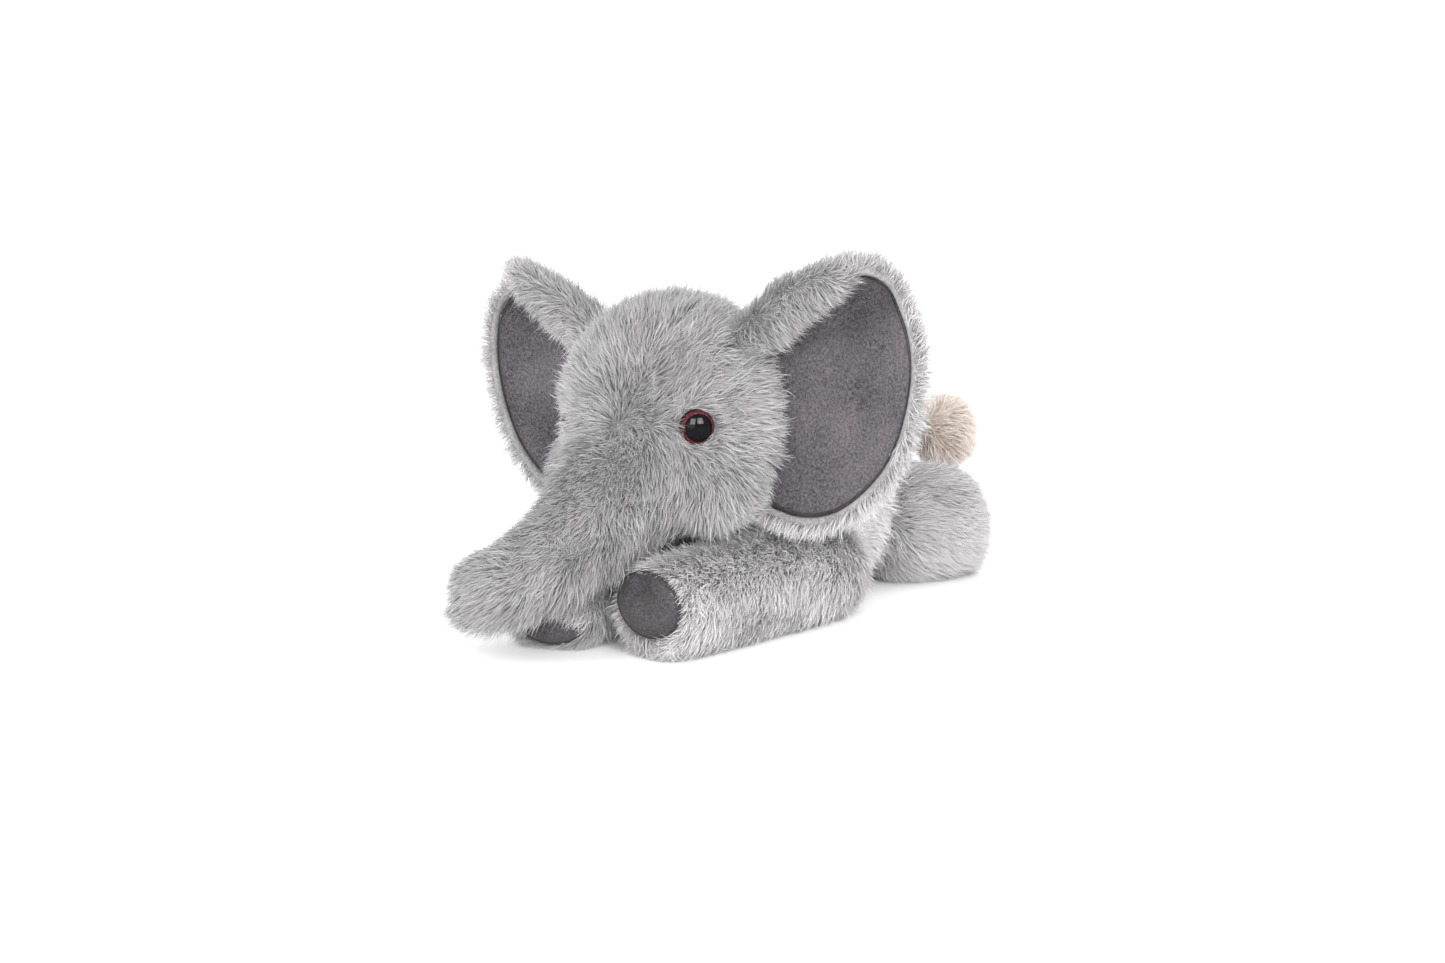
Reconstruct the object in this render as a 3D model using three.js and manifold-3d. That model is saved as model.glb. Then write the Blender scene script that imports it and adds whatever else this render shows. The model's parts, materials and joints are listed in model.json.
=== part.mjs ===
// A plush elephant lying on its belly: sewn fur panels over loose stuffing, with a nodding head, a trunk
// that lifts, two ears, four legs and a tail. Millimetres, +Z up. It faces -Y and its left side is +X.
import * as THREE from 'three';
import { mergeVertices } from 'three/addons/utils/BufferGeometryUtils.js';
import Module from 'manifold-3d';

const wasm = await Module();
wasm.setup();

// Fabric and clearances
const furSkin = 4; // fur fabric with its pile pressed down
const velour = 2.2; // short-pile lining and sole fabric
const gap = 0.4; // air between pieces that lie against each other
const motionGap = 1.8; // air around a piece that moves
const hugeSize = 600; // side of the blocks that cut a form in two

// Mesh fineness
const roundSides = 14;
const bodyRings = 8;
const roomSides = 10; // for the spaces cut round moving pieces
const roomRings = 8;

// Torso, as stations from the chest to the rump: centre on the mid plane, half width and half height
const torso = {
  stations: [
    { y: -74, z: 30, wide: 24, high: 26 },
    { y: -40, z: 32, wide: 34, high: 34 },
    { y: 5, z: 33, wide: 46, high: 37 },
    { y: 50, z: 34, wide: 50, high: 38 },
    { y: 98, z: 31, wide: 40, high: 33 },
  ],
  blunt: [2.6, 2.6],
  bellySeam: 17, // height of the seam between the side panels and the belly panel
};
const pelletBag = { at: [0, 8, 12.2], half: [17, 26, 7.9] };

// Head, an egg form, with the seams of its crown strip either side of the mid plane
const head = { at: [0, -76, 91], half: [47, 46, 48], stripHalf: 15, chinSeam: 80, roll: -3.5 };
const neck = { at: [0, -52, 70], lift: 20 };

// Trunk, from the middle of the face to its blunt end on the floor
const trunk = {
  path: [[0, -101, 80], [-1, -121, 67], [-6, -141, 51], [-16, -160, 38], [-36, -176, 30]],
  radius: [23, 22, 18, 15.5, 14.5],
  blunt: [3, 3.6],
  hinge: [0, -104, 79],
  lift: 30,
};

// Eyes: a domed plastic disc on a stem that is held behind the fabric by a ring washer
const eye = { turn: 46, height: 91.5, radius: 7.4, dome: 5.6, rim: 1.2, stem: 1.7, stemLength: 9, sunk: 1.5 };
const washer = { inner: 2.1, outer: 6.5, thick: 1.4, behind: 5.2 };

// Ears: a cupped leaf with a fur back and a velour lining, hinged on its seam down the side of the head
const ear = {
  root: [39, -66, 98],
  sweep: 7, // degrees that the ear leans back from straight out sideways
  tilt: 6, // degrees that its tip leans outward from the vertical
  outline: [[-6, -34], [16, -52], [41, -49], [63, -27], [71, 7], [66, 36], [49, 57], [28, 52], [8, 36], [-6, 12]],
  liningShare: 0.95, // size of the lining against the back, whose fur rim shows round it
  middle: [30, 2],
  cup: 9,
  roll: 10,
  swing: [-15, 40],
};

// Legs. A path runs from the ball in the hip or shoulder to the sole, and z is the middle of the leg.
const frontLeg = {
  left: {
    path: [[49, -16, 20], [42, -57, 19], [34, -98, 18.5], [26, -138, 18.5]],
    halves: [[22, 22], [20.5, 20.5], [19.5, 19.5], [19.5, 19.5]],
  },
  right: {
    path: [[-49, -16, 20], [-38, -60, 18], [-27, -104, 15.5], [-15, -149, 13.5]],
    halves: [[22, 22], [20.5, 20], [19.5, 17], [19.5, 15]],
  },
  hip: 0.2, // share of the path at which the shoulder turns
  blunt: [4, 8],
  swing: 35,
};
const rearLeg = {
  left: { path: [[30, 36, 23], [46, 56, 23], [61, 80, 22]], halves: [[24, 25], [25, 26], [22, 23]] },
  right: { path: [[-30, 36, 23], [-46, 56, 23], [-61, 80, 22]], halves: [[24, 25], [25, 26], [22, 23]] },
  hip: 0.4,
  blunt: [3, 6],
  swing: 20,
};

// Tail: a short fur stem and a long-haired tuft on its end
const tail = {
  path: [[2, 92, 56], [9, 105, 58], [16, 116, 57]],
  radius: [8, 7.5, 7],
  tuftPath: [[16, 115, 57], [23, 128, 56], [29, 142, 52]],
  tuftRadius: [11, 17, 12],
  wag: 35,
};

const finish = {
  fur: { color: '#b4b2b2', roughness: 0.95, metalness: 0 },
  velour: { color: '#68646a', roughness: 0.9, metalness: 0 },
  tuft: { color: '#cdbeb2', roughness: 0.95, metalness: 0 },
  stuffing: { color: '#f1efe9', roughness: 1, metalness: 0 },
  pellets: { color: '#d9d4c6', roughness: 0.9, metalness: 0 },
  eye: { color: '#1b0d0a', roughness: 0.08, metalness: 0 },
  washer: { color: '#e7e7e4', roughness: 0.5, metalness: 0 },
};

const elephant = new THREE.Group();
// The head, its ears and its trunk lean together towards the right side
const headGroup = new THREE.Group();
elephant.add(headGroup);
headGroup.position.set(...head.at);
headGroup.rotation.y = THREE.MathUtils.degToRad(head.roll);
const vec = (point) => new THREE.Vector3(...point);
const degrees = THREE.MathUtils.degToRad;
const zAxis = new THREE.Vector3(0, 0, 1);
const xAxis = new THREE.Vector3(1, 0, 0);

// A closed geometry as an exact solid
function toSolid(geometry) {
  const bare = geometry.clone();
  bare.deleteAttribute('normal');
  bare.deleteAttribute('uv');
  const merged = mergeVertices(bare, 1e-4);
  const mesh = new wasm.Mesh({
    numProp: 3,
    vertProperties: new Float32Array(merged.attributes.position.array),
    triVerts: new Uint32Array(merged.index.array),
  });
  return new wasm.Manifold(mesh);
}

function toGeometry(solid) {
  const { vertProperties, triVerts } = solid.getMesh();
  const geometry = new THREE.BufferGeometry();
  geometry.setAttribute('position', new THREE.BufferAttribute(new Float32Array(vertProperties), 3));
  geometry.setIndex(new THREE.BufferAttribute(new Uint32Array(triVerts), 1));
  geometry.computeVertexNormals();
  return geometry;
}

function addPiece(name, solid, look, parent = elephant) {
  const mesh = new THREE.Mesh(toGeometry(solid), new THREE.MeshStandardMaterial(look));
  mesh.name = name;
  parent.add(mesh);
  if (parent === headGroup) mesh.geometry.translate(...head.at.map((v) => -v));
}

// A curve through values that keeps each station at an even step
const through = (points) => new THREE.CatmullRomCurve3(points.map(vec));

// A soft closed form: the rings of a sphere carried along a path, each as wide and high as the body is
// there. A higher blunt makes an end flatter, and inset draws the whole form in, for what lies inside it.
function softForm({ path, halves, blunt = [2, 2], floor = 0, inset = 0, sides = roundSides, rings = bodyRings }) {
  const centres = through(path);
  const sizes = through(halves.map(([wide, high]) => [wide, high, 0]));
  const length = centres.getLength();
  const geometry = new THREE.SphereGeometry(1, sides, rings);
  const position = geometry.attributes.position;
  for (let i = 0; i < position.count; i += 1) {
    const along = THREE.MathUtils.clamp(position.getY(i), -1, 1);
    const around = Math.atan2(position.getZ(i), position.getX(i));
    const pole = 1 - Math.abs(along) < 1e-6;
    const power = along > 0 ? blunt[0] : blunt[1];
    const taper = pole ? 0 : (1 - Math.abs(along) ** power) ** (1 / power);
    const share = 0.5 - along * (0.5 - inset / length);
    const within = THREE.MathUtils.clamp(share, 0, 1);
    const tangent = centres.getTangent(within);
    const centre = centres.getPoint(within).addScaledVector(tangent, (share - within) * length);
    const side = new THREE.Vector3().crossVectors(zAxis, tangent).normalize();
    const rise = new THREE.Vector3().crossVectors(tangent, side);
    const size = sizes.getPoint(within);
    const point = centre
      .addScaledVector(side, taper * (size.x - inset) * Math.cos(around))
      .addScaledVector(rise, taper * (size.y - inset) * Math.sin(around));
    position.setXYZ(i, point.x, point.y, Math.max(point.z, floor + inset));
  }
  return toSolid(geometry);
}

const tubeForm = ({ path, radius, blunt }, options) =>
  softForm({ path, halves: radius.map((r) => [r, r]), blunt, ...options });

function eggForm({ at, half }, inset = 0, sides = roundSides + 6, rings = bodyRings + 4) {
  const geometry = new THREE.SphereGeometry(1, sides, rings);
  geometry.rotateX(Math.PI / 2);
  geometry.scale(...half.map((h) => h - inset)).translate(...at);
  return toSolid(geometry);
}

// A block that starts at a point and fills the space on the side that the direction points to
function spaceBeyond(point, direction) {
  const block = new THREE.BoxGeometry(hugeSize, hugeSize, hugeSize).translate(0, 0, hugeSize / 2);
  block.applyQuaternion(new THREE.Quaternion().setFromUnitVectors(zAxis, direction.clone().normalize()));
  return toSolid(block.translate(...point));
}

// The slab between two parallel planes at these distances beyond a point
function slab(point, direction, near, far) {
  const unit = direction.clone().normalize();
  const start = vec(point).addScaledVector(unit, near).toArray();
  const end = vec(point).addScaledVector(unit, far).toArray();
  return spaceBeyond(start, unit).subtract(spaceBeyond(end, unit));
}

// The space that a form takes up as it turns about a hinge through these angles, in degrees
function sweptSpace(form, hinge, axis, angles) {
  return angles
    .map((angle) => {
      const turn = new THREE.Matrix4()
        .makeTranslation(...hinge)
        .multiply(new THREE.Matrix4().makeRotationAxis(axis, degrees(angle)))
        .multiply(new THREE.Matrix4().makeTranslation(...hinge.map((v) => -v)));
      const geometry = toGeometry(form).applyMatrix4(turn);
      return toSolid(geometry);
    })
    .reduce((all, next) => all.add(next));
}

const room = { inset: -motionGap, sides: roomSides, rings: roomRings };
const steps = (from, to, count) => Array.from({ length: count }, (_, i) => from + ((to - from) * i) / (count - 1));

// Solids that several pieces are cut by
const headOuter = eggForm(head);
const headRoom = eggForm(head, -motionGap, roundSides, bodyRings);
const legRoom = [];

// ---- Legs ----
function addLeg(name, { path, halves }, { hip, blunt, swing }, direction) {
  const shape = { path, halves, blunt };
  const outer = softForm(shape);
  const hinge = through(path).getPoint(hip).toArray();
  const end = path.at(-1);
  const axis = vec(end).sub(vec(path.at(-2))).setZ(0).normalize();
  const soleBack = vec(end).addScaledVector(axis, -velour - gap).toArray();
  const solePlane = spaceBeyond(soleBack, axis);
  const inner = softForm({ ...shape, inset: furSkin }).subtract(spaceBeyond(soleBack, axis));
  const skin = outer.subtract(inner).subtract(solePlane);
  const side = new THREE.Vector3().crossVectors(vec(end).sub(vec(hinge)), zAxis).normalize();
  const outward = side.dot(vec(hinge)) > 0 ? side : side.clone().negate();
  const shift = (distance) => vec(hinge).addScaledVector(outward, distance).toArray();
  addPiece(`${name}_panel_outer`, skin.intersect(spaceBeyond(shift(gap / 2), outward)), finish.fur);
  addPiece(`${name}_panel_inner`, skin.subtract(spaceBeyond(shift(-gap / 2), outward)), finish.fur);
  const stuffing = softForm({ ...shape, inset: furSkin + gap });
  const behindSole = vec(soleBack).addScaledVector(axis, -gap).toArray();
  addPiece(`${name}_stuffing`, stuffing.subtract(spaceBeyond(behindSole, axis)), finish.stuffing);
  const soleSpace = slab(soleBack, axis, gap, gap + velour);
  addPiece(`${name}_sole`, outer.intersect(soleSpace), finish.velour);
  const angles = steps(0, swing * direction, 3);
  legRoom.push(sweptSpace(softForm({ ...shape, ...room, floor: -motionGap }), hinge, zAxis, angles));
}
addLeg('front_leg_left', frontLeg.left, frontLeg, 1);
addLeg('front_leg_right', frontLeg.right, frontLeg, -1);
addLeg('rear_leg_left', rearLeg.left, rearLeg, -1);
addLeg('rear_leg_right', rearLeg.right, rearLeg, 1);

// ---- Torso ----
const torsoShape = {
  path: torso.stations.map(({ y, z }) => [0, y, z]),
  halves: torso.stations.map(({ wide, high }) => [wide, high]),
  blunt: torso.blunt,
  rings: bodyRings + 3,
  sides: roundSides + 6,
};
const torsoRoom = [sweptSpace(headRoom, neck.at, xAxis, steps(0, -neck.lift, 3)), ...legRoom];
const tailSocket = sweptSpace(tubeForm(tail, room), tail.path[0], zAxis, steps(-tail.wag, tail.wag, 3));
const clearTorso = (solid) => [...torsoRoom, tailSocket].reduce((left, room) => left.subtract(room), solid);
const torsoOuter = softForm(torsoShape);
const torsoSkin = clearTorso(torsoOuter.subtract(softForm({ ...torsoShape, inset: furSkin })));
const aboveSeam = spaceBeyond([0, 0, torso.bellySeam + gap / 2], zAxis);
const sideSkin = torsoSkin.intersect(aboveSeam);
addPiece('torso_panel_left', sideSkin.intersect(spaceBeyond([gap / 2, 0, 0], xAxis)), finish.fur);
addPiece('torso_panel_right', sideSkin.subtract(spaceBeyond([-gap / 2, 0, 0], xAxis)), finish.fur);
const belowSeam = spaceBeyond([0, 0, torso.bellySeam - gap / 2], zAxis);
addPiece('belly_panel', torsoSkin.subtract(belowSeam), finish.fur);
const pellets = eggForm(pelletBag, 0, roundSides, bodyRings);
const pelletRoom = eggForm(pelletBag, -gap, roundSides, bodyRings);
const torsoFill = clearTorso(softForm({ ...torsoShape, inset: furSkin + gap }));
addPiece('torso_stuffing', torsoFill.subtract(pelletRoom), finish.stuffing);
addPiece('pellet_bag', pellets, finish.pellets);

// ---- Trunk ----
const trunkOuter = tubeForm(trunk);
const trunkInner = tubeForm(trunk, { inset: furSkin });
const trunkSkin = trunkOuter.subtract(trunkInner);
const trunkSide = vec(trunk.path.at(-1)).sub(vec(trunk.path[0])).cross(zAxis).normalize();
const trunkCut = (distance) => vec(trunk.path[0]).addScaledVector(trunkSide, distance).toArray();
addPiece('trunk_panel_right', trunkSkin.intersect(spaceBeyond(trunkCut(gap / 2), trunkSide)), finish.fur, headGroup);
addPiece('trunk_panel_left', trunkSkin.subtract(spaceBeyond(trunkCut(-gap / 2), trunkSide)), finish.fur, headGroup);
addPiece('trunk_stuffing', tubeForm(trunk, { inset: furSkin + gap }), finish.stuffing, headGroup);
const trunkRoom = sweptSpace(tubeForm(trunk, room), trunk.hinge, xAxis, steps(0, -trunk.lift, 4));

// ---- Eyes ----
// The dome, its flat rim and the stem behind it, turned about the stem's axis
function eyeGeometry() {
  const profile = [new THREE.Vector2(0, -eye.stemLength), new THREE.Vector2(eye.stem, -eye.stemLength)];
  profile.push(new THREE.Vector2(eye.stem, 0), new THREE.Vector2(eye.radius, 0));
  for (const angle of steps(0, 90, 7)) {
    const r = eye.radius * Math.cos(degrees(angle));
    profile.push(new THREE.Vector2(angle === 90 ? 0 : r, eye.rim + eye.dome * Math.sin(degrees(angle))));
  }
  return new THREE.LatheGeometry(profile, roundSides);
}

// A ring of rectangular section about the stem's axis
function ringGeometry(inner, outer, low, high) {
  const corners = [[inner, low], [outer, low], [outer, high], [inner, high], [inner, low]];
  return new THREE.LatheGeometry(corners.map(([r, h]) => new THREE.Vector2(r, h)), roundSides);
}

function placeOnFace(geometry, sideSign) {
  const turn = degrees(eye.turn);
  const normal = new THREE.Vector3(sideSign * Math.sin(turn), -Math.cos(turn), 0);
  const level = Math.sqrt(1 - ((eye.height - head.at[2]) / head.half[2]) ** 2);
  const reach = level / Math.hypot(Math.sin(turn) / head.half[0], Math.cos(turn) / head.half[1]);
  const seat = new THREE.Vector3(head.at[0], head.at[1], eye.height).addScaledVector(normal, reach - eye.sunk);
  geometry.applyQuaternion(new THREE.Quaternion().setFromUnitVectors(new THREE.Vector3(0, 1, 0), normal));
  return toSolid(geometry.translate(seat.x, seat.y, seat.z));
}

// ---- Head ----
const eyeRoom = [-1, 1].map((sign) => {
  const seat = ringGeometry(0, eye.radius + gap, -gap, eye.rim + eye.dome + hugeSize / 20);
  const stem = ringGeometry(0, eye.stem + gap, -eye.stemLength - gap, 0);
  const disc = ringGeometry(0, washer.outer + gap, -washer.behind - washer.thick - gap, -washer.behind + gap);
  return [seat, stem, disc].map((part) => placeOnFace(part, sign)).reduce((all, next) => all.add(next));
});
const clearHead = (solid) => [...eyeRoom, trunkRoom].reduce((left, room) => left.subtract(room), solid);
const headSkin = clearHead(headOuter.subtract(eggForm(head, furSkin)));
const beyondStrip = (x) => spaceBeyond([x, 0, 0], xAxis);
const leftOf = (solid) => solid.intersect(beyondStrip(head.stripHalf + gap / 2));
const rightOf = (solid) => solid.subtract(beyondStrip(-head.stripHalf - gap / 2));
const strip = headSkin.intersect(beyondStrip(-head.stripHalf + gap / 2))
  .subtract(beyondStrip(head.stripHalf - gap / 2));
addPiece('head_side_left', leftOf(headSkin), finish.fur, headGroup);
addPiece('head_side_right', rightOf(headSkin), finish.fur, headGroup);
addPiece('crown_strip', strip.intersect(spaceBeyond([0, 0, head.chinSeam + gap / 2], zAxis)), finish.fur, headGroup);
addPiece('chin_panel', strip.subtract(spaceBeyond([0, 0, head.chinSeam - gap / 2], zAxis)), finish.fur, headGroup);
addPiece('head_stuffing', clearHead(eggForm(head, furSkin + gap)), finish.stuffing, headGroup);
for (const [sign, word] of [[1, 'left'], [-1, 'right']]) {
  addPiece(`eye_${word}`, placeOnFace(eyeGeometry(), sign), finish.eye, headGroup);
  const ring = ringGeometry(washer.inner, washer.outer, -washer.behind - washer.thick, -washer.behind);
  addPiece(`eye_washer_${word}`, placeOnFace(ring, sign), finish.washer, headGroup);
}

// ---- Ears ----
const earOutline = new THREE.CatmullRomCurve3(ear.outline.map(([out, up]) => new THREE.Vector3(out, up, 0)), true);

// One layer of the ear between two depths behind its face, cupped, with its leading edge rolled forward
function earLayer(front, back, sign, share = 1) {
  const geometry = new THREE.SphereGeometry(1, 26, 6);
  geometry.rotateX(Math.PI / 2);
  const position = geometry.attributes.position;
  const [midOut, midUp] = ear.middle;
  const lean = degrees(ear.sweep);
  const tilt = degrees(ear.tilt);
  for (let i = 0; i < position.count; i += 1) {
    const [x, y, z] = [position.getX(i), position.getY(i), position.getZ(i)];
    const reach = Math.min(1, Math.hypot(x, y));
    const rim = earOutline.getPoint((Math.atan2(y, x) / (2 * Math.PI) + 1.5) % 1);
    const out = midOut + (rim.x - midOut) * reach * share;
    const up = midUp + (rim.y - midUp) * reach * share;
    const height = (up - midUp) / 50;
    const forward = ear.cup * reach ** 2 + ear.roll * Math.max(0, height) ** 2 * Math.max(0, 1 - out / 60);
    const depth = (front + back) / 2 + ((front - back) / 2) * Math.sign(z) * Math.sqrt(Math.abs(z));
    const ahead = forward - depth;
    const along = out + up * Math.tan(tilt);
    const px = ear.root[0] + along * Math.cos(lean) + ahead * Math.sin(lean);
    const py = ear.root[1] + along * Math.sin(lean) - ahead * Math.cos(lean);
    position.setXYZ(i, sign * px, py, ear.root[2] + up);
  }
  if (sign < 0) geometry.index.array.reverse();
  return toSolid(geometry);
}
for (const [sign, word] of [[1, 'left'], [-1, 'right']]) {
  const hinge = [sign * ear.root[0], ear.root[1], ear.root[2]];
  const angles = steps(...ear.swing, 8).map((angle) => -sign * angle); // the head, as the ear sees it
  const clear = sweptSpace(headRoom, hinge, zAxis, angles);
  addPiece(`ear_lining_${word}`, earLayer(0, velour, sign, ear.liningShare).subtract(clear), finish.velour, headGroup);
  addPiece(`ear_back_${word}`, earLayer(velour + gap, velour + gap + furSkin, sign).subtract(clear), finish.fur, headGroup);
}

// ---- Tail ----
addPiece('tail_stem', tubeForm(tail), finish.fur);
const tuft = tubeForm({ path: tail.tuftPath, radius: tail.tuftRadius });
const stemRoom = tubeForm(tail, { inset: -gap });
addPiece('tail_tuft', tuft.subtract(stemRoom), finish.tuft);

export default elephant;
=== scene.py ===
# A lying plush elephant: long grey fur on padded cloth forms, velour ears and soles,
# domed eyes and a beige tail tuft. It faces -Y, its left side is +X, and the floor is z = 0.
# Lengths in the dictionaries are millimetres. Only the camera and the lamps are placed in metres.
import json
import math

import bmesh
import bpy
import numpy as np
from mathutils import Matrix, Vector
from mathutils.bvhtree import BVHTree
from mathutils.kdtree import KDTree


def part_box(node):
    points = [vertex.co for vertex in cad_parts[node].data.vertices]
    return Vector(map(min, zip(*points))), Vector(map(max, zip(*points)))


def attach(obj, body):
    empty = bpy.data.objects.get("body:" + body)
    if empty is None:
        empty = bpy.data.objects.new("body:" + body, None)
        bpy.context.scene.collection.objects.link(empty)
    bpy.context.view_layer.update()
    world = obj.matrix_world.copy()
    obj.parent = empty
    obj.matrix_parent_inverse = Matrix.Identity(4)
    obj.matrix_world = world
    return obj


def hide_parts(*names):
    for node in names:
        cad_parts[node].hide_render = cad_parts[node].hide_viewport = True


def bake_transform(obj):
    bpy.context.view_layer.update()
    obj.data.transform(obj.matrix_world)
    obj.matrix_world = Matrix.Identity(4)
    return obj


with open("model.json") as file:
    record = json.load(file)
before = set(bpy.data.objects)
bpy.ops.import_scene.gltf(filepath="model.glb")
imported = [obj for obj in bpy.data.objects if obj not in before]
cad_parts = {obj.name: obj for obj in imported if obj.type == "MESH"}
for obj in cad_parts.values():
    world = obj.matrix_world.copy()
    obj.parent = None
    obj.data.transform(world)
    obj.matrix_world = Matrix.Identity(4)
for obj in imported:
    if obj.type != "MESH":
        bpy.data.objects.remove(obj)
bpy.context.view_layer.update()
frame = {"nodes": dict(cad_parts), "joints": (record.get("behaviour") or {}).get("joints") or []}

scene = bpy.context.scene
mm = 0.001
up = np.array([0.0, 0.0, 1.0])
strandLayout = "OFBake"  # the layout that gives each strand its tone and its place from root to tip


def unit(vectors):
    length = np.linalg.norm(vectors, axis=-1, keepdims=True)
    return vectors / np.maximum(length, 1e-9)


def across(vectors, normals):  # the part of each vector that lies in the surface
    return vectors - normals * np.sum(vectors * normals, axis=1, keepdims=True)


def smoothStep(values, low, high):
    share = np.clip((values - low) / (high - low), 0, 1)
    return share * share * (3 - 2 * share)


def waveNoise(points, size, seed):
    # A smooth value from about -1 to 1, made of a few crossing waves
    draw = np.random.default_rng(seed)
    total = np.zeros(len(points))
    waves, spread = 8, 2.4
    for _ in range(waves):
        direction = unit(draw.normal(size=3))
        length = size * draw.uniform(0.6, 1.7)
        total += np.sin(points @ direction * (2 * math.pi / length) + draw.uniform(0, 2 * math.pi))
    return total / spread


def waveVector(points, size, seed):
    return np.stack([waveNoise(points, size, seed + k) for k in range(3)], axis=1)


def alongPath(points, path):
    # For each point, the direction of the path beside it and how far along the path it is
    knots, steps = np.array(path, float), 60
    shares = np.linspace(0, len(knots) - 1, steps)
    fine = np.stack([np.interp(shares, range(len(knots)), knots[:, k]) for k in range(3)], axis=1)
    tangents = unit(np.gradient(fine, axis=0))
    nearest = np.argmin(((points[:, None, :] - fine[None]) ** 2).sum(axis=2), axis=1)
    return tangents[nearest], nearest / (steps - 1)


def addObject(name, mesh):
    item = bpy.data.objects.new(name, mesh)
    scene.collection.objects.link(item)
    return item


def meshFrom(name, points, faces):
    mesh = bpy.data.meshes.new(name)
    mesh.from_pydata([tuple(p) for p in np.asarray(points, float) * mm], [], [tuple(f) for f in faces])
    mesh.validate()
    mesh.polygons.foreach_set("use_smooth", [True] * len(mesh.polygons))
    return mesh


def settle(item):  # make the modifiers' result the mesh itself
    graph = bpy.context.evaluated_depsgraph_get()
    made = bpy.data.meshes.new_from_object(item.evaluated_get(graph))
    item.modifiers.clear()
    item.data = made
    made.polygons.foreach_set("use_smooth", [True] * len(made.polygons))


def readPoints(mesh, kind="co"):
    values = np.empty(len(mesh.vertices) * 3)
    mesh.vertices.foreach_get(kind, values)
    return values.reshape(-1, 3) * (1 / mm if kind == "co" else 1)


def writePoints(mesh, points):
    mesh.vertices.foreach_set("co", (points * mm).ravel())
    mesh.update()


def ringFaces(rows, around, closed=False, turned=False):
    # Quads between neighbouring rings of points, and from the last ring to the first if closed
    faces = []
    for i in range(rows if closed else rows - 1):
        j = (i + 1) % rows
        for k in range(around):
            m = (k + 1) % around
            a, b, c, d = i * around + k, i * around + m, j * around + m, j * around + k
            faces.append((a, d, c, b) if turned else (a, b, c, d))
    return faces


def weld(mesh, gap):  # join the points that lie together, and turn every face outward
    work = bmesh.new()
    work.from_mesh(mesh)
    bmesh.ops.remove_doubles(work, verts=work.verts[:], dist=gap * mm)
    bmesh.ops.recalc_face_normals(work, faces=work.faces[:])
    work.to_mesh(mesh)
    work.free()


def standFacing(item, place, target):
    item.location = place
    item.rotation_euler = (Vector(target) - Vector(place)).to_track_quat("-Z", "Y").to_euler()


# The camera looks at the toy's left side from in front, a little above its head
view = {
    "place": (0.5275, -0.8523, 0.2435),
    "aim": (0.0196, -0.0702, 0.0623),
    "lens": 55,
    "sensor": 36,
}
cameraData = bpy.data.cameras.new("camera")
cameraData.lens = view["lens"]
cameraData.sensor_width = view["sensor"]
camera = addObject("camera", cameraData)
standFacing(camera, view["place"], view["aim"])
scene.camera = camera
scene.view_settings.view_transform = "Standard"
scene.view_settings.look = "None"

studio = {
    "worldColor": (1, 1, 1, 1),
    "worldStrength": 1.3,
    "floorSize": 12.0,
    "floorColor": (0.97, 0.97, 0.972, 1),
    "floorRoughness": 0.9,
    "lampAim": (0, -0.05, 0.06),
    "lamps": [  # place, width, depth, power in watts
        ((1.109, -0.964, 0.80), 0.2, 0.34, 6.5),
        ((1.290, -0.700, 0.80), 0.2, 0.34, 6.5),
        ((-0.7, -0.7, 1.2), 1.2, 1.0, 4),
        ((0.35, -1.6, 0.42), 1.3, 0.7, 15),
    ],
}


def newMaterial(name):
    material = bpy.data.materials.new(name)
    material.use_nodes = True
    nodes = material.node_tree.nodes
    return material, nodes, material.node_tree.links, nodes["Principled BSDF"]


def setSockets(node, values):
    for socket, value in values.items():
        node.inputs[socket].default_value = value


def addLamp(name, place, width, depth, power):
    lamp = bpy.data.lights.new(name, "AREA")
    lamp.shape = "RECTANGLE"
    lamp.size, lamp.size_y, lamp.energy = width, depth, power
    item = addObject(name, lamp)
    standFacing(item, place, studio["lampAim"])
    return item


def buildStudio():
    world = bpy.data.worlds.new("studio")
    scene.world = world
    world.use_nodes = True
    background = world.node_tree.nodes["Background"]
    setSockets(background, {"Color": studio["worldColor"], "Strength": studio["worldStrength"]})
    half = studio["floorSize"] / 2
    corners = [(-half, -half, 0), (half, -half, 0), (half, half, 0), (-half, half, 0)]
    mesh = bpy.data.meshes.new("floor")
    mesh.from_pydata(corners, [], [(0, 1, 2, 3)])
    floor = addObject("floor", mesh)
    material, *_, shader = newMaterial("pale_floor")
    setSockets(shader, {"Base Color": studio["floorColor"], "Roughness": studio["floorRoughness"]})
    mesh.materials.append(material)
    for number, (place, width, depth, power) in enumerate(studio["lamps"]):
        addLamp(f"softbox_{number + 1}", place, width, depth, power)


buildStudio()
print("studio built")


def addRamp(nodes, *stops):  # a ramp of colours, each stop a place and a colour
    ramp = nodes.new("ShaderNodeValToRGB")
    ends = ramp.color_ramp.elements
    ends[0].position, ends[0].color = stops[0][0], (*stops[0][1], 1)
    ends[1].position, ends[1].color = stops[-1][0], (*stops[-1][1], 1)
    for place, color in stops[1:-1]:
        ends.new(place).color = (*color, 1)
    return ramp


def addNoise(nodes, links, scale, detail, roughness=0.5):
    place = nodes.new("ShaderNodeTexCoord")
    noise = nodes.new("ShaderNodeTexNoise")
    setSockets(noise, {"Scale": scale, "Detail": detail, "Roughness": roughness})
    links.new(place.outputs["Object"], noise.inputs["Vector"])
    return noise


def multiplyAdd(nodes, links, source, factor, shift=0.0):
    total = nodes.new("ShaderNodeMath")
    total.operation = "MULTIPLY_ADD"
    total.inputs[1].default_value, total.inputs[2].default_value = factor, shift
    links.new(source.outputs[0], total.inputs[0])
    return total


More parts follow.
